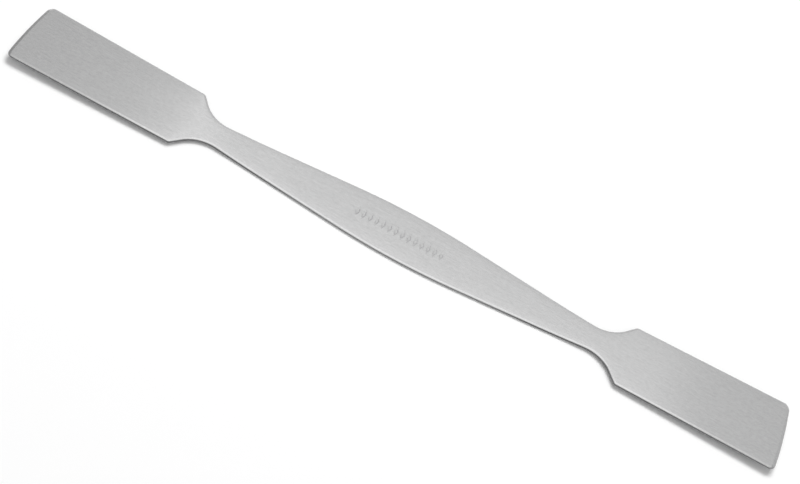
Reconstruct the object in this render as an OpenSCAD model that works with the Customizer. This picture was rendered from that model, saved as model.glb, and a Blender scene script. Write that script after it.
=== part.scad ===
// Double-ended flat spatula for modelling clay, wax and plaster, blanked from one strip of
// stainless steel. The handle, the necks and the blades are a single piece of metal: each node is
// one stretch of it, and neighbours meet face to face. The handle lies on the table between the
// two bends where the metal leaves it, a neck runs from such a bend to the narrowest line, and a
// blade runs from there to its tip. +X runs along the tool, +Y across it and +Z up. The origin is
// on the table, under the middle of the length.

/* [Blank] */
// Length from tip to tip
overall_l = 200; // [190:1:215]
// Thickness of the sheet
sheet_t = 0.75; // [0.7:0.05:1.5]
// Distance of the widest line from the middle of the length, towards the right tip
waist_shift = 1.4; // [0:0.1:3]

/* [Handle] */
// Width at the widest line, the waist
waist_w = 14.8; // [12:0.1:16.5]
// Radius of the edge's curve over the waist
crest_r = 165; // [80:5:190]
// Distance of each neck from the waist
neck_x = 49.3; // [46:0.1:54]
// Width at the narrowest line of each neck
neck_w = 7.1; // [6:0.1:7.6]
// Radius of the hollow curve from the neck to the shoulder
neck_r = 8.8; // [6:0.1:9.5]

/* [Blades] */
// Angle between the shoulder and the tool's length
shoulder_angle = 49; // [42:1:54]
// Radius of the shoulder's outer corner
shoulder_r = 1.2; // [0.5:0.1:1.2]
// Angle by which each side opens towards the tip
side_flare = 0.85; // [0:0.05:1.2]
// Width across the tip
tip_w = 19.3; // [18.5:0.1:23]
// Radius of the tip's corners
tip_r = 1.5; // [1:0.1:3]
// Distance by which the tip's end line bows outwards
tip_bow = 0.35; // [0.1:0.05:0.8]
// Angle by which the right tip is out of square, its -Y corner standing forward
right_tip_skew = 2.6; // [0:0.1:4]
// Thickness of the metal at the tip
tip_t = 0.65; // [0.5:0.05:0.7]
// Length of the bevel ground along the tip's upper edge
bevel_l = 0.85; // [0.3:0.05:1]
// Depth of that bevel
bevel_h = 0.4; // [0.1:0.05:0.4]

/* [Bends] */
// Distance of the first bend from the waist
neck_bend_x = 40; // [34:0.5:44]
// Slope of the neck above the table
neck_slope = 1.7; // [0.5:0.1:4]
// Distance of the second bend from the waist
blade_bend_x = 57; // [54:0.5:60]
// Slope of the blade above the table
blade_slope = 1.2; // [0.5:0.05:3]
// Distance on each side of a bend's middle over which it is spread
bend_reach = 4; // [1:0.5:5]

/* [Stamped row] */
// Number of lozenges in the row
stamp_count = 14; // [6:1:16]
// Distance from one lozenge to the next
stamp_pitch = 1.7; // [1.4:0.1:2]
// Length of a lozenge across the handle
stamp_l = 2.9; // [1.5:0.1:4]
// Width of a lozenge along the handle
stamp_w = 1.1; // [0.6:0.1:1.3]
// Depth of the stamping
stamp_depth = 0.05; // [0.05:0.05:0.3]

/* [Hidden] */

steel = [0.77, 0.77, 0.78];

// Tips, measured along X from the waist
left_tip_x = overall_l / 2 + waist_shift;
right_tip_x = overall_l / 2 - waist_shift;

// The straight taper touches the crest's circle from above and the neck's circle from below,
// so both centres lie at known distances from it and its angle follows.
neck_centre = [neck_x, neck_w / 2 + neck_r];
crest_centre = [0, waist_w / 2 - crest_r];
radii_sum = crest_r + neck_r;
centre_rise = neck_centre.y - crest_centre.y;
taper_angle = atan2(neck_x, centre_rise) - acos(radii_sum / norm([neck_x, centre_rise]));

// Bow of the end line as a circle through the tip
end_r = (pow(tip_w / 2, 2) + pow(tip_bow, 2)) / (2 * tip_bow);

// Straight facets in each stretch of a curved edge
crest_steps = 8;
neck_steps = 14;
corner_steps = 6;
end_steps = 6;
bend_steps = 2;

// Room around the metal for the solids that cut it
spare = 5;

// Points on a circle, from one angle to another
function arc(centre, r, from, to, steps) =
    [for (i = [0:steps]) let (a = from + (to - from) * i / steps) centre + r * [cos(a), sin(a)]];

// Unit vector at an angle
function heading(a) = [cos(a), sin(a)];

// Where two lines meet, each given by a point on it and its angle
function meet(p, a, q, b) =
    let (d = q - p, t = (d.x * sin(b) - d.y * cos(b)) / sin(b - a)) p + t * heading(a);

// Centre of the rounding between a shoulder and a blade's straight side
function shoulder_corner(tip_x) =
    let (
        inward_shoulder = heading(shoulder_angle - 90),
        inward_side = heading(side_flare - 90),
        shoulder_start = neck_centre + neck_r * inward_shoulder
    )
    meet(
        shoulder_start + shoulder_r * inward_shoulder, shoulder_angle,
        [tip_x, tip_w / 2] + shoulder_r * inward_side, side_flare
    );

// Centre of the rounding between a blade's straight side and its bowed end
function tip_corner(tip_x) =
    let (
        along = heading(side_flare),
        start = [tip_x, tip_w / 2] + tip_r * heading(side_flare - 90),
        from_end_centre = start - [tip_x - end_r, 0],
        b = from_end_centre * along,
        c = from_end_centre * from_end_centre - pow(end_r - tip_r, 2)
    )
    start + (sqrt(b * b - c) - b) * along;

// Far edge of one half of the blank, from just past the waist to just short of the tip's middle
function half_edge(tip_x) =
    let (
        corner = tip_corner(tip_x),
        end_centre = [tip_x - end_r, 0],
        corner_end = atan2(corner.y, corner.x - end_centre.x)
    )
    concat(
        [for (i = [1:crest_steps])
            crest_centre + crest_r * heading(90 - taper_angle * i / crest_steps)],
        arc(neck_centre, neck_r, -90 - taper_angle, -90, corner_steps),
        [for (i = [1:neck_steps])
            neck_centre + neck_r * heading(-90 + shoulder_angle * i / neck_steps)],
        arc(shoulder_corner(tip_x), shoulder_r, 90 + shoulder_angle, 90 + side_flare, corner_steps),
        arc(corner, tip_r, 90 + side_flare, corner_end, corner_steps),
        [for (i = [1:end_steps - 1]) end_centre + end_r * heading(corner_end * (1 - i / end_steps))]
    );

// The same points with those of the tip slid along X, so that the tip's line turns by an angle
function skewed(points, tip_x, angle) =
    [for (p = points) [p.x < tip_x - 2 * tip_r ? p.x : p.x - p.y * tan(angle), p.y]];

// The same points taken from the last to the first
function reversed(points) = [for (i = [len(points) - 1:-1:0]) points[i]];

// The same points with their coordinates multiplied, to mirror them
function flipped(points, along_x, along_y) = [for (p = points) [p.x * along_x, p.y * along_y]];

// Plan view of the whole blank, with X measured from the waist
module outline() {
    right = half_edge(right_tip_x);
    left = half_edge(left_tip_x);
    right_side = concat(right, [[right_tip_x, 0]], reversed(flipped(right, 1, -1)));
    polygon(concat(
        [[0, waist_w / 2]], skewed(right_side, right_tip_x, right_tip_skew),
        [[0, -waist_w / 2]], flipped(left, -1, -1), [[-left_tip_x, 0]], reversed(flipped(left, -1, 1))
    ));
}

// Height gained by a bend of unit slope at a distance d past its middle
function ramp(d) =
    d <= -bend_reach ? 0 : d >= bend_reach ? d : pow(d + bend_reach, 2) / (4 * bend_reach);

// Height of the underside above the table at a distance x from the waist
function underside(x) =
    tan(neck_slope) * ramp(x - neck_bend_x)
    + (tan(blade_slope) - tan(neck_slope)) * ramp(x - blade_bend_x);

// Thickness at a distance x from the waist
function thickness(x, tip_x) =
    x <= blade_bend_x ? sheet_t
    : sheet_t + (tip_t - sheet_t) * (x - blade_bend_x) / (tip_x - blade_bend_x);

// Stations through one bend
function bend_stations(middle) =
    [for (i = [0:bend_steps]) middle - bend_reach + 2 * bend_reach * i / bend_steps];

// Side view of one half, out along the underside and back along the top, past the tip
function half_profile(tip_x) =
    let (
        stations = concat(bend_stations(neck_bend_x), bend_stations(blade_bend_x), [tip_x + spare])
    )
    concat(
        [for (x = stations) [x, underside(x)]],
        [for (x = reversed(stations)) [x, underside(x) + thickness(x, tip_x)]]
    );

// Side view of the whole blank, with X measured from the waist
module profile() {
    left = flipped(half_profile(left_tip_x), -1, 1);
    polygon(concat(half_profile(right_tip_x), reversed(left)));
}

// What the grinding takes off a right tip's upper edge, its line turned by an angle
module bevel(tip_x, angle) {
    start_h = underside(tip_x - bevel_l) + thickness(tip_x - bevel_l, tip_x);
    slope = (underside(tip_x) + tip_t - bevel_h - start_h) / bevel_l;
    translate([tip_x, 0, 0])
        rotate([90, 0, angle])
            linear_extrude(height = 2 * tip_w, center = true)
                polygon([
                    [-bevel_l, start_h], [spare, start_h + slope * (bevel_l + spare)],
                    [spare, start_h + spare], [-bevel_l, start_h + spare]
                ]);
}

// The whole blank between two lines across it, both measured from the waist
module stretch(from, to) {
    blank_h = 2 * spare + underside(left_tip_x);
    translate([waist_shift, 0, 0])
        intersection() {
            translate([0, 0, -spare]) linear_extrude(height = blank_h) outline();
            rotate([90, 0, 0]) linear_extrude(height = tip_w + spare, center = true) profile();
            translate([from, -tip_w, -spare]) cube([to - from, 2 * tip_w, blank_h]);
        }
}

module lozenge() {
    polygon([[-stamp_w / 2, 0], [0, -stamp_l / 2], [stamp_w / 2, 0], [0, stamp_l / 2]]);
}

// Row of lozenges, centred on the middle of the length
module stamped_row() {
    first_x = -stamp_pitch * (stamp_count - 1) / 2;
    for (i = [0:stamp_count - 1])
        translate([first_x + i * stamp_pitch, 0, sheet_t - stamp_depth])
            linear_extrude(height = spare) lozenge();
}

module handle() {
    color(steel)
        difference() {
            stretch(-neck_bend_x, neck_bend_x);
            stamped_row();
        }
}

module left_neck() {
    color(steel) stretch(-neck_x, -neck_bend_x);
}

module right_neck() {
    color(steel) stretch(neck_bend_x, neck_x);
}

module left_blade() {
    color(steel)
        difference() {
            stretch(-left_tip_x - spare, -neck_x);
            translate([waist_shift, 0, 0]) mirror([1, 0, 0]) bevel(left_tip_x, 0);
        }
}

module right_blade() {
    color(steel)
        difference() {
            stretch(neck_x, right_tip_x + spare);
            translate([waist_shift, 0, 0]) bevel(right_tip_x, right_tip_skew);
        }
}

handle();
left_neck();
right_neck();
left_blade();
right_blade();
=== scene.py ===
import math

import bpy
import numpy as np
from mathutils import Matrix, Vector


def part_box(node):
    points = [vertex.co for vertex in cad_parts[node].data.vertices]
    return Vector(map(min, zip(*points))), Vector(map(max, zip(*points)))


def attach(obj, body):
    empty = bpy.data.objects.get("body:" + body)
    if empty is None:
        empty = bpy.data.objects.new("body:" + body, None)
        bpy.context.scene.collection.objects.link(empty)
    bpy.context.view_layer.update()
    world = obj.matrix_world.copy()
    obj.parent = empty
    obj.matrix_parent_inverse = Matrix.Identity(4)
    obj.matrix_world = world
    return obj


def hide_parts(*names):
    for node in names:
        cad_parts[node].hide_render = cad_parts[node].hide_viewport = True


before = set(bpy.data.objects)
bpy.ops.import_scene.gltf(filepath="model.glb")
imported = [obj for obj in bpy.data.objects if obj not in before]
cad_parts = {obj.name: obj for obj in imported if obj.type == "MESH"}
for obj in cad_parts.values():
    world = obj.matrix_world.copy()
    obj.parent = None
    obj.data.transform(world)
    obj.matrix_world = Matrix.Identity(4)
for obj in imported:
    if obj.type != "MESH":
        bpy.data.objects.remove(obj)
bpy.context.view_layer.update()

# A double-ended flat steel spatula on a white floor. Shape values are in millimetres, and X is
# measured from the waist, the widest line of the handle. The frame gives the places of the waist,
# the first bends, the necks and the tips; the other values repeat the CAD model's.

MM = 0.001

handle_low, handle_high = (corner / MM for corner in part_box("handle"))
left_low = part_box("left_blade")[0] / MM
right_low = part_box("right_blade")[0] / MM

WAIST_X = (handle_low.x + handle_high.x) / 2
WAIST_W = handle_high.y - handle_low.y
NECK_BEND_X = handle_high.x - WAIST_X
NECK_X = right_low.x - WAIST_X
LEFT_TIP_X = WAIST_X - left_low.x

# From the left tip, as the origin is under the middle of the length. The right blade's box would
# not do, since its skewed corner stands past the middle of its tip.
RIGHT_TIP_X = LEFT_TIP_X - 2 * WAIST_X

# Outline
CREST_R = 165.0
NECK_W = 7.1
NECK_R = 8.8
SHOULDER_ANGLE = math.radians(49)
SHOULDER_R = 1.2
SIDE_FLARE = math.radians(0.85)
TIP_W = 19.3
TIP_R = 1.5
TIP_BOW = 0.35
RIGHT_TIP_SKEW = math.tan(math.radians(2.6))

# Side view
SHEET_T = 0.75
TIP_T = 0.65
NECK_SLOPE = math.tan(math.radians(1.7))
BLADE_BEND_X = 57.0
BLADE_SLOPE = math.tan(math.radians(1.2))
BEND_REACH = 4.0

# Upper face, slightly lower towards its edges
CROWN_H = 0.06

# Edges: rolled over softly by the blanking, then rounded, and ground to a bevel along each tip
ROLL_L = 0.5
ROLL_TILT = math.radians(14)
ROUND_R = 0.12
BEVEL_L = 0.85
BEVEL_H = 0.4
BEVEL_TILT = math.atan2(BEVEL_H, BEVEL_L)

# Length of the patch of the mesh that follows a tip's end
PATCH_L = 4.0

# Steps of the mesh round each half of a tip's corner, and those over which its bevel fades in
CORNER_STEPS = 5
BEVEL_FADE_STEPS = 8

# Stamped row of lozenges
STAMP_COUNT = 14
STAMP_PITCH = 1.7
STAMP_L = 2.9
STAMP_W = 1.1
STAMP_DEPTH = 0.05
STAMP_BURR_H = 0.016

# Width of a lozenge's sloping wall, and the place and spread of its burr, as shares of its half size
STAMP_WALL = 0.6
STAMP_BURR_AT = 1.12
STAMP_BURR_SPREAD = 0.1

# Reach of the finely meshed rows past the lozenges
FINE_MARGIN = 0.4


# ---------------------------------------------------------------- outline

def heading(angle):
    return np.array([math.cos(angle), math.sin(angle)])


def arc(centre, radius, start, stop, steps, outward=1):
    """Points on a circle, each with the metal's outward normal there."""
    angles = np.linspace(start, stop, steps + 1)
    return [(centre + radius * heading(a), outward * heading(a)) for a in angles]


def straight(start, stop, spacing):
    """Points between two ends, without the ends themselves."""
    (p, normal), (q, _) = start, stop
    steps = max(1, round(math.dist(p, q) / spacing))
    return [(p + (q - p) * i / steps, normal) for i in range(1, steps)]


def meet(p, a, q, b):
    """Where the line through p at angle a meets the line through q at angle b."""
    d = q - p
    return p + heading(a) * (d[0] * math.sin(b) - d[1] * math.cos(b)) / math.sin(b - a)


NECK_CENTRE = np.array([NECK_X, NECK_W / 2 + NECK_R])
CREST_CENTRE = np.array([0.0, WAIST_W / 2 - CREST_R])
END_R = ((TIP_W / 2) ** 2 + TIP_BOW ** 2) / (2 * TIP_BOW)


def taper_angle():
    """Slope of the straight edge that touches both the crest's circle and the neck's circle."""
    dx, dy = NECK_CENTRE - CREST_CENTRE
    return math.atan2(dx, dy) - math.acos((CREST_R + NECK_R) / math.hypot(dx, dy))


def taper():
    """Straight edge from the crest to a neck, as its first and its last point."""
    angle = taper_angle()
    crest_end = arc(CREST_CENTRE, CREST_R, math.pi / 2 - angle, 0, 1)[0]
    neck_start = arc(NECK_CENTRE, NECK_R, -math.pi / 2 - angle, 0, 1, -1)[0]
    return crest_end, neck_start


def at_bend():
    """Point of the taper at the bend where the handle ends."""
    (p, normal), (q, _) = taper()
    return p + (q - p) * (NECK_BEND_X - p[0]) / (q[0] - p[0]), normal


def handle_edge(fine_reach, fine_step):
    """Far edge from the waist to the first bend, with closer points as far as fine_reach."""
    crest_end, _ = taper()
    fine = [
        CREST_CENTRE + np.array([x, math.sqrt(CREST_R ** 2 - x ** 2)])
        for x in np.arange(0, fine_reach, fine_step)
    ]
    crest = [(p, (p - CREST_CENTRE) / CREST_R) for p in fine]
    return crest + [crest_end] + straight(crest_end, at_bend(), 1.2) + [at_bend()]


def neck_edge():
    """Far edge from the first bend to the neck's narrowest line."""
    angle = taper_angle()
    fillet = arc(NECK_CENTRE, NECK_R, -math.pi / 2 - angle, -math.pi / 2, 3, -1)
    return [at_bend()] + straight(at_bend(), fillet[0], 1.0) + fillet


def blade_edges(tip_x):
    """Far edge from a neck to the middle of the tip's corner, and the tip's end from there."""
    quarter = math.pi / 2
    neck = arc(NECK_CENTRE, NECK_R, -quarter, SHOULDER_ANGLE - quarter, 18, -1)

    tip_side = np.array([tip_x, TIP_W / 2])
    inward_side = heading(SIDE_FLARE - quarter)
    shoulder_centre = meet(
        neck[-1][0] + SHOULDER_R * heading(SHOULDER_ANGLE - quarter), SHOULDER_ANGLE,
        tip_side + SHOULDER_R * inward_side, SIDE_FLARE,
    )
    shoulder = arc(shoulder_centre, SHOULDER_R, quarter + SHOULDER_ANGLE, quarter + SIDE_FLARE, 7)

    end_centre = np.array([tip_x - END_R, 0.0])
    along = heading(SIDE_FLARE)
    start = tip_side + TIP_R * inward_side
    b = np.dot(start - end_centre, along)
    c = np.dot(start - end_centre, start - end_centre) - (END_R - TIP_R) ** 2
    corner_centre = start + (math.sqrt(b * b - c) - b) * along
    dx, dy = corner_centre - end_centre
    corner_stop = math.atan2(dy, dx)
    corner_middle = (quarter + SIDE_FLARE + corner_stop) / 2
    corner = arc(corner_centre, TIP_R, quarter + SIDE_FLARE, corner_middle, CORNER_STEPS)

    side = straight(shoulder[-1], corner[0], 1.0)
    far = neck + straight(neck[-1], shoulder[0], 0.8) + shoulder + side + corner
    half_end = (
        arc(corner_centre, TIP_R, corner_middle, corner_stop, CORNER_STEPS)
        + arc(end_centre, END_R, corner_stop, 0, 9)[1:]
    )
    mirror = np.array([1, -1])
    near_half = [(p * mirror, n * mirror) for p, n in reversed(half_end[:-1])]
    return far, half_end + near_half


# Half the width at each distance from the waist, as far as the tips' corners
BLADE_SIDE = blade_edges(LEFT_TIP_X)[0][1:-CORNER_STEPS - 1]
HALF_OUTLINE = handle_edge(12, 1) + neck_edge()[1:] + BLADE_SIDE
OUTLINE_X = [p[0] for p, _ in HALF_OUTLINE]
OUTLINE_Y = [p[1] for p, _ in HALF_OUTLINE]


# ---------------------------------------------------------------- side view

def ramp(d):
    """Height gained by a bend of unit slope at a distance d past its middle."""
    eased = (np.clip(d, -BEND_REACH, BEND_REACH) + BEND_REACH) ** 2 / (4 * BEND_REACH)
    return np.where(d > BEND_REACH, d, eased)


def underside(x):
    x = np.abs(x)
    return NECK_SLOPE * ramp(x - NECK_BEND_X) + (BLADE_SLOPE - NECK_SLOPE) * ramp(x - BLADE_BEND_X)


def thinning(x):
    """How much thinner than the handle the metal is, from the shoulder to the tip."""
    tip = np.where(x > 0, RIGHT_TIP_X, LEFT_TIP_X)
    share = np.clip((np.abs(x) - BLADE_BEND_X) / (tip - BLADE_BEND_X), 0, 1)
    return (SHEET_T - TIP_T) * share


def crown(x, y):
    """Drop of the upper face from its middle line towards its edges."""
    half_width = np.interp(np.abs(x), OUTLINE_X, OUTLINE_Y)
    return CROWN_H * (y / half_width) ** 4


# ---------------------------------------------------------------- stamping

def smooth_step(value):
    value = np.clip(value, 0, 1)
    return value * value * (3 - 2 * value)


def stamped(x, y):
    """Shares of the stamping's full depth and of its burr's full height at a point."""
    x = x + WAIST_X
    reach = STAMP_PITCH * STAMP_COUNT / 2
    cell = (x + reach) / STAMP_PITCH
    local = (cell - np.floor(cell) - 0.5) * STAMP_PITCH
    measure = np.abs(local) / (STAMP_W / 2) + np.abs(y) / (STAMP_L / 2)
    measure = np.where(np.abs(x) < reach, measure, np.inf)
    sunk = smooth_step((1 - measure) / STAMP_WALL)
    burr = np.exp(-((measure - STAMP_BURR_AT) / STAMP_BURR_SPREAD) ** 2)
    return sunk, burr


def top_height(x, y):
    sunk, burr = stamped(x, y)
    relief = STAMP_BURR_H * burr - STAMP_DEPTH * sunk - crown(x, y)
    return underside(x) + SHEET_T - thinning(x) + relief


def low_height(x, y):
    return underside(x)


def face_normal(height, x, y, facing):
    """Outward normal of a face that is given as a height over the plan."""
    step = 0.01
    along = (height(x + step, y) - height(x - step, y)) / (2 * step)
    across = (height(x, y + step) - height(x, y - step)) / (2 * step)
    return facing * unit(np.stack([-along, -across, np.ones_like(along)], -1))


def unit(vectors):
    return vectors / np.linalg.norm(vectors, axis=-1, keepdims=True)


# ---------------------------------------------------------------- meshes

def rolled_edge():
    """The upper edge's profile as rings of inset, drop and tilt: a soft roll, then a round."""
    rolled_drop = ROLL_L * math.tan(ROLL_TILT) / 2
    start = ROUND_R * (1 - math.sin(ROLL_TILT))
    roll = [
        (start + ROLL_L * (1 - share), rolled_drop * share ** 2, ROLL_TILT * share)
        for share in (0, 1 / 3, 2 / 3, 1)
    ]
    round_over = [
        (ROUND_R * (1 - math.sin(t)), rolled_drop + ROUND_R * (math.cos(ROLL_TILT) - math.cos(t)), t)
        for t in np.linspace(ROLL_TILT, math.pi / 2, 5)[1:]
    ]
    return roll + round_over


def rounded_edge():
    """The lower edge's profile, a plain round."""
    angles = np.linspace(0, math.pi / 2, len(ROLLED))
    return [(ROUND_R * (1 - math.sin(t)), ROUND_R * (1 - math.cos(t)), t) for t in angles]


ROLLED = rolled_edge()
BEVELLED = [
    (BEVEL_L, 0.0, 0.0),
    (0.92 * BEVEL_L, 0.04 * BEVEL_H, 0.5 * BEVEL_TILT),
    (0.84 * BEVEL_L, 0.13 * BEVEL_H, BEVEL_TILT),
    (0.48 * BEVEL_L, 0.52 * BEVEL_H, BEVEL_TILT),
    (0.11 * BEVEL_L, 0.92 * BEVEL_H, BEVEL_TILT),
    (0.05 * BEVEL_L, 0.98 * BEVEL_H, math.radians(45)),
    (0.02 * BEVEL_L, 1.03 * BEVEL_H, math.radians(68)),
    (0.0, 1.1 * BEVEL_H, math.radians(90)),
]
LOWER = rounded_edge()


def edge_profile(bevel, top):
    """Rings of an edge, where bevel runs from 0, a side, to 1, the tip."""
    if not top:
        return LOWER
    return [
        tuple(r + (b - r) * bevel for r, b in zip(rolled, bevelled))
        for rolled, bevelled in zip(ROLLED, BEVELLED)
    ]


class Shell:
    """Collects one piece's vertices, normals, attributes and faces."""

    def __init__(self):
        self.points = []
        self.normals = []
        self.across = []
        self.rim = []
        self.sunk = []
        self.faces = []
        self.flat = []

    def add(self, point, normal, across, rim=0.0, sunk=0.0):
        self.points.append(point)
        self.normals.append(normal)
        self.across.append(across)
        self.rim.append(rim)
        self.sunk.append(sunk)
        return len(self.points) - 1

    def quad(self, a, b, c, d, flat=None):
        self.faces.append((a, b, c, d))
        self.flat.append(flat)

    def skew(self, start, stop, slope):
        """Slides points along X in proportion to Y, from not at all at start to fully at stop."""
        points = np.array(self.points)
        normals = np.array(self.normals)
        share = slope * smooth_step((points[:, 0] - start) / (stop - start))
        points[:, 0] -= share * points[:, 1]
        normals[:, 1] += share * normals[:, 0]
        self.points = points
        self.normals = unit(normals)

    def build(self, name, mirrored):
        """The object, in the frame, with X turned round for a piece on the left."""
        side = np.array([-1, 1, 1]) if mirrored else np.array([1, 1, 1])
        points = (np.array(self.points) * side + np.array([WAIST_X, 0, 0])) * MM
        faces = [face[::-1] for face in self.faces] if mirrored else self.faces
        mesh = bpy.data.meshes.new(name)
        mesh.from_pydata(points.tolist(), [], faces)
        mesh.shade_smooth()
        normals = np.array(self.normals) * side
        loops = []
        for face, flat in zip(faces, self.flat):
            for corner in face:
                loops.append(normals[corner] if flat is None else np.array(flat) * side)
        mesh.normals_split_custom_set([tuple(n) for n in loops])
        self.store(mesh, "across", "FLOAT_VECTOR", "vector", np.array(self.across) * side)
        self.store(mesh, "rim", "FLOAT", "value", np.array(self.rim))
        self.store(mesh, "sunk", "FLOAT", "value", np.array(self.sunk))
        piece = bpy.data.objects.new(name, mesh)
        bpy.context.collection.objects.link(piece)
        return piece

    @staticmethod
    def store(mesh, name, kind, field, values):
        mesh.attributes.new(name, kind, "POINT").data.foreach_set(field, values.ravel())


def face_grid(shell, plan, top):
    """The upper or lower face over a plan of points, as a grid of vertex numbers."""
    x, y = plan[..., 0], plan[..., 1]
    height, facing = (top_height, 1) if top else (low_height, -1)
    z, normal = height(x, y), face_normal(height, x, y, facing)
    sunk = stamped(x, y)[0] if top else 0 * x
    grid = np.zeros(plan.shape[:2], int)
    for i in range(plan.shape[0]):
        for j in range(plan.shape[1]):
            point = (x[i, j], y[i, j], z[i, j])
            grid[i, j] = shell.add(point, normal[i, j], (0, 1, 0), 0, sunk[i, j])
    for i in range(plan.shape[0] - 1):
        for j in range(plan.shape[1] - 1):
            a, b, c, d = grid[i, j], grid[i, j + 1], grid[i + 1, j + 1], grid[i + 1, j]
            shell.quad(*((a, b, c, d) if top else (d, c, b, a)))
    return grid


def inset(edge, bevels, top):
    """The border of a face, inside an edge by the whole width of its profile."""
    return np.array([
        p - n * edge_profile(bevel, top)[0][0] for (p, n), bevel in zip(edge, bevels)
    ])


def edge_rings(shell, first_ring, rim, bevels, top):
    """Rings of vertices from a face's border out to the side wall."""
    height, facing = (top_height, 1) if top else (low_height, -1)
    rings = [first_ring]
    for k in range(1, len(ROLLED)):
        ring = []
        for (p, n), bevel in zip(rim, bevels):
            width, drop, tilt = edge_profile(bevel, top)[k]
            x, y = p - n * width
            z = height(x, y) - facing * drop
            face = face_normal(height, x, y, facing)
            outward = np.array([n[0], n[1], 0])
            normal = unit(math.cos(tilt) * face + math.sin(tilt) * outward)
            turn = 1 if n[1] >= 0 else -1
            across = turn * (math.cos(tilt) * outward - math.sin(tilt) * face)
            ring.append(shell.add((x, y, z), normal, across, tilt / (math.pi / 2)))
        rings.append(ring)
    return rings


def join_rings(shell, inner, outer, top):
    """Quads between two rings of the same length, left open at their ends."""
    for i in range(len(inner) - 1):
        a, b, c, d = inner[i], inner[i + 1], outer[i + 1], outer[i]
        shell.quad(*((a, b, c, d) if top else (d, c, b, a)))


def cap(shell, top_column, low_column, facing):
    """Closes the section at a neck, facing +X or -X, between two matching columns."""
    for i in range(len(top_column) - 1):
        a, b, c, d = top_column[i], top_column[i + 1], low_column[i + 1], low_column[i]
        quad = (a, b, c, d) if facing > 0 else (d, c, b, a)
        shell.quad(*quad, flat=(facing, 0, 0))


def blade_plan(far, end, bevels_far, bevels_end, top):
    """Grid over a blade's face: straight ribs, then a patch that follows the tip's end."""
    border = inset(far, bevels_far, top)
    close = inset(end, bevels_end, top)
    mirror = np.array([1, -1])
    rows = close[:, 1] / close[0, 1]
    first = int(np.argmin(np.abs(border[:, 0] - border[-1, 0] + PATCH_L)))
    plan = np.zeros((len(border), len(rows), 2))
    for i, (x, y) in enumerate(border[:first + 1]):
        plan[i] = [(x, row * y) for row in rows]
    steps = np.linalg.norm(np.diff(border[first:], axis=0), axis=1)
    along = np.concatenate([[0], np.cumsum(steps)]) / steps.sum()
    far_first, far_last = border[first], border[-1]
    for i, u in enumerate(along):
        far_point, near_point = border[first + i], border[first + i] * mirror
        for j, v in enumerate((1 - rows) / 2):
            sides = (1 - v) * far_point + v * near_point
            ends = (1 - u) * plan[first, j] + u * close[j]
            first_line = (1 - v) * far_first + v * far_first * mirror
            last_line = (1 - v) * far_last + v * far_last * mirror
            plan[first + i, j] = sides + ends - (1 - u) * first_line - u * last_line
    return plan


def blade(name, tip_x, skew, mirrored):
    """A blade from the neck's narrowest line to its tip, modelled to the right of the waist."""
    far, end = blade_edges(tip_x)
    fade_start = len(far) - CORNER_STEPS - 1
    fade = [
        float(smooth_step((i - fade_start) / BEVEL_FADE_STEPS))
        for i in range(len(far) + len(end) // 2)
    ]
    bevels_far = fade[:len(far)]
    bevels_half = fade[len(far) - 1:]
    bevels_end = bevels_half + bevels_half[-2::-1]
    near = [(p * [1, -1], n * [1, -1]) for p, n in far[::-1]]
    rim = far + end[1:-1] + near
    bevels = bevels_far + bevels_end[1:-1] + bevels_far[::-1]

    shell = Shell()
    outermost, section = [], []
    for top in (True, False):
        grid = face_grid(shell, blade_plan(far, end, bevels_far, bevels_end, top), top)
        border = list(grid[:, 0]) + list(grid[-1, 1:-1]) + list(grid[::-1, -1])
        rings = edge_rings(shell, border, rim, bevels, top)
        for inner, outer in zip(rings, rings[1:]):
            join_rings(shell, inner, outer, top)
        outermost.append(rings[-1])
        section.append(
            [ring[0] for ring in rings[:0:-1]] + list(grid[0]) + [ring[-1] for ring in rings[1:]]
        )
    join_rings(shell, *outermost, True)
    cap(shell, *section, facing=-1)
    shell.skew(BLADE_BEND_X + BEND_REACH, tip_x - PATCH_L, skew)
    return shell.build(name, mirrored)


def band(name, far, rows, mirrored):
    """A stretch between two sections, from its far edge, listed along +X, and its rows."""
    near = [(p * [1, -1], n * [1, -1]) for p, n in far[::-1]]
    plain = [0] * len(far)
    shell = Shell()
    outermost, sections = [], []
    for top in (True, False):
        plan = np.array([[(x, row * y) for row in rows] for x, y in inset(far, plain, top)])
        grid = face_grid(shell, plan, top)
        sides = [
            edge_rings(shell, list(grid[:, 0]), far, plain, top),
            edge_rings(shell, list(grid[::-1, -1]), near, plain, top),
        ]
        for rings in sides:
            for inner, outer in zip(rings, rings[1:]):
                join_rings(shell, inner, outer, top)
        outermost.append([rings[-1] for rings in sides])
        sections.append([
            [ring[far_end] for ring in sides[0][:0:-1]]
            + list(grid[far_end])
            + [ring[near_end] for ring in sides[1][1:]]
            for far_end, near_end in ((0, -1), (-1, 0))
        ])
    for top_ring, low_ring in zip(*outermost):
        join_rings(shell, top_ring, low_ring, True)
    for top_line, low_line, facing in zip(*sections, (-1, 1)):
        cap(shell, top_line, low_line, facing)
    return shell.build(name, mirrored)


def handle(name):
    """The flat handle between the first bends, with closer rows over the stamping."""
    half = handle_edge(STAMP_PITCH * (STAMP_COUNT / 2 + 1) + WAIST_X, STAMP_PITCH / 10)
    far = [(p * [-1, 1], n * [-1, 1]) for p, n in half[:0:-1]] + half
    fine_w = STAMP_L / 2 + FINE_MARGIN
    half_w = WAIST_W / 2 - ROLLED[0][0]
    fine = np.linspace(-1, 1, 25) * fine_w
    coarse = np.linspace(fine_w, half_w, 7)[1:]
    rows = np.concatenate([coarse[::-1], fine[::-1], -coarse]) / half_w
    return band(name, far, rows, mirrored=False)


def neck(name, mirrored):
    """The stretch that rises from the first bend to the narrowest line."""
    return band(name, neck_edge(), np.linspace(1, -1, 9), mirrored)


# ---------------------------------------------------------------- materials

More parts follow.
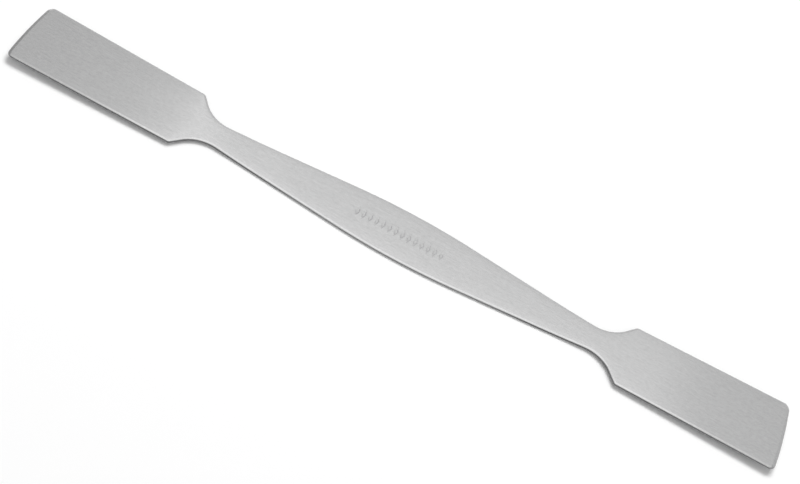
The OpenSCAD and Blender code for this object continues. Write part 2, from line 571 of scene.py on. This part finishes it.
# Steel: darker and lighter grain, a little painted shade in the stamping, and painted shade on the
# sheared walls, lighter and darker
GRAIN_DARK = (0.655, 0.655, 0.657)
GRAIN_LIGHT = (0.775, 0.775, 0.777)
STAMP_SHADE = (0.42, 0.42, 0.425)
WALL_LIGHT_SHADE = (0.36, 0.36, 0.362)
WALL_DEEP_SHADE = (0.2, 0.2, 0.202)

# Distances from the middle of the length over which the walls' painted shade goes from its lighter
# to its darker level
WALL_SHADE_START = 22
WALL_SHADE_STOP = 36


class Nodes:
    """Short calls for adding and linking a material's nodes."""

    def __init__(self, name):
        self.material = bpy.data.materials.new(name)
        self.material.use_nodes = True
        self.tree = self.material.node_tree
        self.tree.nodes.clear()

    def add(self, kind, **settings):
        node = self.tree.nodes.new(kind)
        for key, value in settings.items():
            if hasattr(node, key):
                setattr(node, key, value)
            else:
                node.inputs[key].default_value = value
        return node

    def link(self, source, target):
        self.tree.links.new(source, target)

    def stretched_noise(self, coordinates, size, detail, roughness):
        """Noise whose features measure size (x, y, z) in millimetres."""
        mapping = self.add("ShaderNodeMapping")
        mapping.inputs["Scale"].default_value = [1 / (s * MM) for s in size]
        self.link(coordinates, mapping.inputs["Vector"])
        noise = self.add("ShaderNodeTexNoise", Scale=1.0, Detail=detail, Roughness=roughness)
        self.link(mapping.outputs["Vector"], noise.inputs["Vector"])
        return noise.outputs["Fac"]

    def scaled(self, value, low, high, from_low=0.0, from_high=1.0):
        node = self.add("ShaderNodeMapRange")
        for name, number in (
            ("From Min", from_low), ("From Max", from_high), ("To Min", low), ("To Max", high)
        ):
            node.inputs[name].default_value = number
        self.link(value, node.inputs["Value"])
        return node.outputs["Result"]

    def math(self, operation, a, b):
        node = self.add("ShaderNodeMath", operation=operation)
        for i, value in enumerate((a, b)):
            if isinstance(value, (int, float)):
                node.inputs[i].default_value = value
            else:
                self.link(value, node.inputs[i])
        return node.outputs[0]

    def attribute(self, name):
        return self.add("ShaderNodeAttribute", attribute_name=name)

    def mix_color(self, factor, a, b):
        node = self.add("ShaderNodeMix", data_type="RGBA")
        self.link(factor, node.inputs["Factor"])
        for socket, value in ((node.inputs[6], a), (node.inputs[7], b)):
            if isinstance(value, tuple):
                socket.default_value = (*value, 1)
            else:
                self.link(value, socket)
        return node.outputs[2]


def satin_steel():
    """Finely brushed steel with a soft mottle, a little painted shade in the stamping, and painted
    shade on the sheared walls, lighter in the middle.
    """
    nodes = Nodes("satin_steel")
    place = nodes.add("ShaderNodeTexCoord").outputs["Object"]
    grain = nodes.stretched_noise(place, (5, 0.2, 0.2), 4.0, 0.7)
    mottle = nodes.stretched_noise(place, (0.9, 0.5, 0.5), 3.0, 0.6)
    cloud = nodes.stretched_noise(place, (26, 9, 9), 1.0, 0.5)
    rim = nodes.attribute("rim").outputs["Fac"]
    sunk = nodes.attribute("sunk").outputs["Fac"]

    texture = nodes.math("ADD", nodes.scaled(grain, 0, 0.5), nodes.scaled(mottle, 0, 0.5))
    spread = nodes.scaled(texture, 0, 1, 0.3, 0.7)
    tone = nodes.mix_color(spread, GRAIN_DARK, GRAIN_LIGHT)
    # Painted shade: the stamped lozenges are darkened a little where they are sunk
    stamp_shaded_tone = nodes.mix_color(nodes.scaled(sunk, 0, 0.08), tone, STAMP_SHADE)
    split = nodes.add("ShaderNodeSeparateXYZ")
    nodes.link(place, split.inputs["Vector"])
    # Painted shade on the sheared walls: darker towards the ends, lighter near the middle of the
    # length
    from_middle = nodes.math("ABSOLUTE", split.outputs["X"], 0.0)
    deeper_shade = nodes.scaled(from_middle, 0, 1, WALL_SHADE_START * MM, WALL_SHADE_STOP * MM)
    wall_shade = nodes.mix_color(deeper_shade, WALL_LIGHT_SHADE, WALL_DEEP_SHADE)
    wall = nodes.scaled(rim, 0, 1, 0.55, 0.95)
    colour = nodes.mix_color(wall, stamp_shaded_tone, wall_shade)

    rough = nodes.math("ADD", nodes.scaled(grain, 0.17, 0.23), nodes.scaled(cloud, -0.02, 0.02))
    rough = nodes.math("ADD", rough, nodes.scaled(wall, 0.0, 0.12))

    height = nodes.math("ADD", nodes.scaled(grain, 0, 1), nodes.scaled(mottle, 0, 0.6))
    bump = nodes.add("ShaderNodeBump", Strength=0.25, Distance=0.000004)
    nodes.link(height, bump.inputs["Height"])

    shader = nodes.add("ShaderNodeBsdfPrincipled", Metallic=1.0, Anisotropic=0.95)
    nodes.link(colour, shader.inputs["Base Color"])
    nodes.link(rough, shader.inputs["Roughness"])
    nodes.link(bump.outputs["Normal"], shader.inputs["Normal"])
    nodes.link(nodes.attribute("across").outputs["Vector"], shader.inputs["Tangent"])
    output = nodes.add("ShaderNodeOutputMaterial")
    nodes.link(shader.outputs["BSDF"], output.inputs["Surface"])
    return nodes.material


def white_paper():
    nodes = Nodes("white_paper")
    shader = nodes.add("ShaderNodeBsdfPrincipled", Roughness=0.9)
    shader.inputs["Base Color"].default_value = (0.92, 0.92, 0.92, 1)
    shader.inputs["Specular IOR Level"].default_value = 0.1
    output = nodes.add("ShaderNodeOutputMaterial")
    nodes.link(shader.outputs["BSDF"], output.inputs["Surface"])
    return nodes.material


# ---------------------------------------------------------------- studio

CAMERA_TILT = math.radians(50)
CAMERA_YAW = -0.0758
CAMERA_ROLL = 0.4382
CAMERA_DISTANCE = 0.356
CAMERA_AIM = Vector((0.00107, -0.00129, -0.00025))
LENS_MM = 68.83
SENSOR_MM = 36.0


def place_camera():
    """Looks down on the tool from the front, rolled so that it runs down to the right."""
    forward = Vector((
        math.sin(CAMERA_YAW) * math.cos(CAMERA_TILT),
        math.cos(CAMERA_YAW) * math.cos(CAMERA_TILT),
        -math.sin(CAMERA_TILT),
    ))
    right = Vector((math.cos(CAMERA_YAW), -math.sin(CAMERA_YAW), 0))
    up = right.cross(forward)
    x = math.cos(CAMERA_ROLL) * right + math.sin(CAMERA_ROLL) * up
    y = math.cos(CAMERA_ROLL) * up - math.sin(CAMERA_ROLL) * right
    turn = Matrix((x, y, -forward)).transposed().to_4x4()
    data = bpy.data.cameras.new("camera")
    data.lens = LENS_MM
    data.sensor_width = SENSOR_MM
    data.clip_start = 0.01
    data.clip_end = 20
    camera = bpy.data.objects.new("camera", data)
    camera.matrix_world = Matrix.Translation(CAMERA_AIM - forward * CAMERA_DISTANCE) @ turn
    bpy.context.collection.objects.link(camera)
    bpy.context.scene.camera = camera


def softbox(name, place, aim, size, watts, in_gloss):
    data = bpy.data.lights.new(name, "AREA")
    data.shape = "RECTANGLE"
    data.size = size[0]
    data.size_y = size[1]
    data.energy = watts
    light = bpy.data.objects.new(name, data)
    light.location = place
    light.rotation_euler = (Vector(aim) - Vector(place)).to_track_quat("-Z", "Y").to_euler()
    light.visible_glossy = in_gloss
    bpy.context.collection.objects.link(light)


# The room's brightness by direction, as stops of position and level: from left to right, from
# the floor up to the ceiling, and from the front to the back
ALONG = [
    (-1.0, 0.5), (-0.9, 0.35), (-0.8, 0.2), (-0.66, 0.42), (-0.29, 0.525), (-0.2, 0.59), (0.1, 0.59),
    (0.2, 0.56), (0.75, 0.46), (1.0, 0.55),
]
UPWARD = [(0.0, 1.2), (0.5, 1.15), (0.72, 0.98), (0.78, 1.0), (0.9, 1.42), (1.0, 1.8)]
BACKWARD = [(-0.65, 1.3), (-0.45, 0.5), (-0.05, 0.55), (0.15, 0.95), (0.3, 1.0)]

# A colour ramp stops at 1, so each holds half its levels, and the room makes up for all three
ROOM_STRENGTH = 8
BACKDROP = (0.88, 0.88, 0.88, 1)

# Just below the plane on which the tool lies, in metres like the lights and the camera
FLOOR_Z = -0.00002
FLOOR_HALF = 4.0


def graded(tree, value, stops):
    """A brightness that follows one component of the direction, from -1 to 1."""
    share = tree.nodes.new("ShaderNodeMapRange")
    share.inputs["From Min"].default_value = -1
    levels = tree.nodes.new("ShaderNodeValToRGB")
    for i, (position, level) in enumerate(stops):
        elements = levels.color_ramp.elements
        stop = elements[i] if i < 2 else elements.new(1)
        stop.position = (position + 1) / 2
        stop.color = (level / 2, level / 2, level / 2, 1)
    tree.links.new(value, share.inputs["Value"])
    tree.links.new(share.outputs["Result"], levels.inputs["Fac"])
    return levels.outputs["Color"]


def pale_room():
    """A graded room for light and reflections, and a plain pale backdrop behind the tool."""
    world = bpy.data.worlds.new("studio")
    world.use_nodes = True
    tree = world.node_tree
    place = tree.nodes.new("ShaderNodeTexCoord")
    split = tree.nodes.new("ShaderNodeSeparateXYZ")
    tree.links.new(place.outputs["Generated"], split.inputs["Vector"])
    level = graded(tree, split.outputs["X"], ALONG)
    for axis, stops in (("Z", UPWARD), ("Y", BACKWARD)):
        product = tree.nodes.new("ShaderNodeVectorMath")
        product.operation = "MULTIPLY"
        tree.links.new(level, product.inputs[0])
        tree.links.new(graded(tree, split.outputs[axis], stops), product.inputs[1])
        level = product.outputs["Vector"]
    room = tree.nodes["Background"]
    room.inputs["Strength"].default_value = ROOM_STRENGTH
    tree.links.new(level, room.inputs["Color"])
    backdrop = tree.nodes.new("ShaderNodeBackground")
    backdrop.inputs["Color"].default_value = BACKDROP
    seen = tree.nodes.new("ShaderNodeMixShader")
    rays = tree.nodes.new("ShaderNodeLightPath")
    tree.links.new(rays.outputs["Is Camera Ray"], seen.inputs["Fac"])
    tree.links.new(room.outputs["Background"], seen.inputs[1])
    tree.links.new(backdrop.outputs["Background"], seen.inputs[2])
    tree.links.new(seen.outputs["Shader"], tree.nodes["World Output"].inputs["Surface"])
    bpy.context.scene.world = world


def light_studio():
    """The room, a key softbox high at the back, a broad one overhead and a narrow one beside it."""
    pale_room()
    bpy.context.scene.view_settings.view_transform = "Standard"
    softbox(
        "key", place=(0, 0.84, 1.15), aim=(0, 0, 0), size=(1.0, 0.55), watts=15, in_gloss=False
    )
    softbox(
        "strip", place=(-0.035, 0.08, 0.9), aim=(-0.035, 0.08, 0), size=(0.485, 1.35), watts=0.56,
        in_gloss=True,
    )
    softbox(
        "strip_edge", place=(-0.25, 0.3, 0.9), aim=(-0.25, 0.3, 0), size=(0.04, 1.4), watts=0.1,
        in_gloss=True,
    )


def lay_floor():
    mesh = bpy.data.meshes.new("floor")
    signs = [(-1, -1), (1, -1), (1, 1), (-1, 1)]
    corners = [(x * FLOOR_HALF, y * FLOOR_HALF, FLOOR_Z) for x, y in signs]
    mesh.from_pydata(corners, [], [(0, 1, 2, 3)])
    mesh.materials.append(white_paper())
    floor = bpy.data.objects.new("floor", mesh)
    bpy.context.collection.objects.link(floor)


# ---------------------------------------------------------------- scene

place_camera()
light_studio()
lay_floor()

steel = satin_steel()
pieces = {
    "handle": handle("handle_steel"),
    "left_neck": neck("left_neck_steel", mirrored=True),
    "right_neck": neck("right_neck_steel", mirrored=False),
    "left_blade": blade("left_blade_steel", LEFT_TIP_X, skew=0, mirrored=True),
    "right_blade": blade("right_blade_steel", RIGHT_TIP_X, RIGHT_TIP_SKEW, mirrored=False),
}
for node, piece in pieces.items():
    piece.data.materials.append(steel)
    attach(piece, "root")
    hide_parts(node)
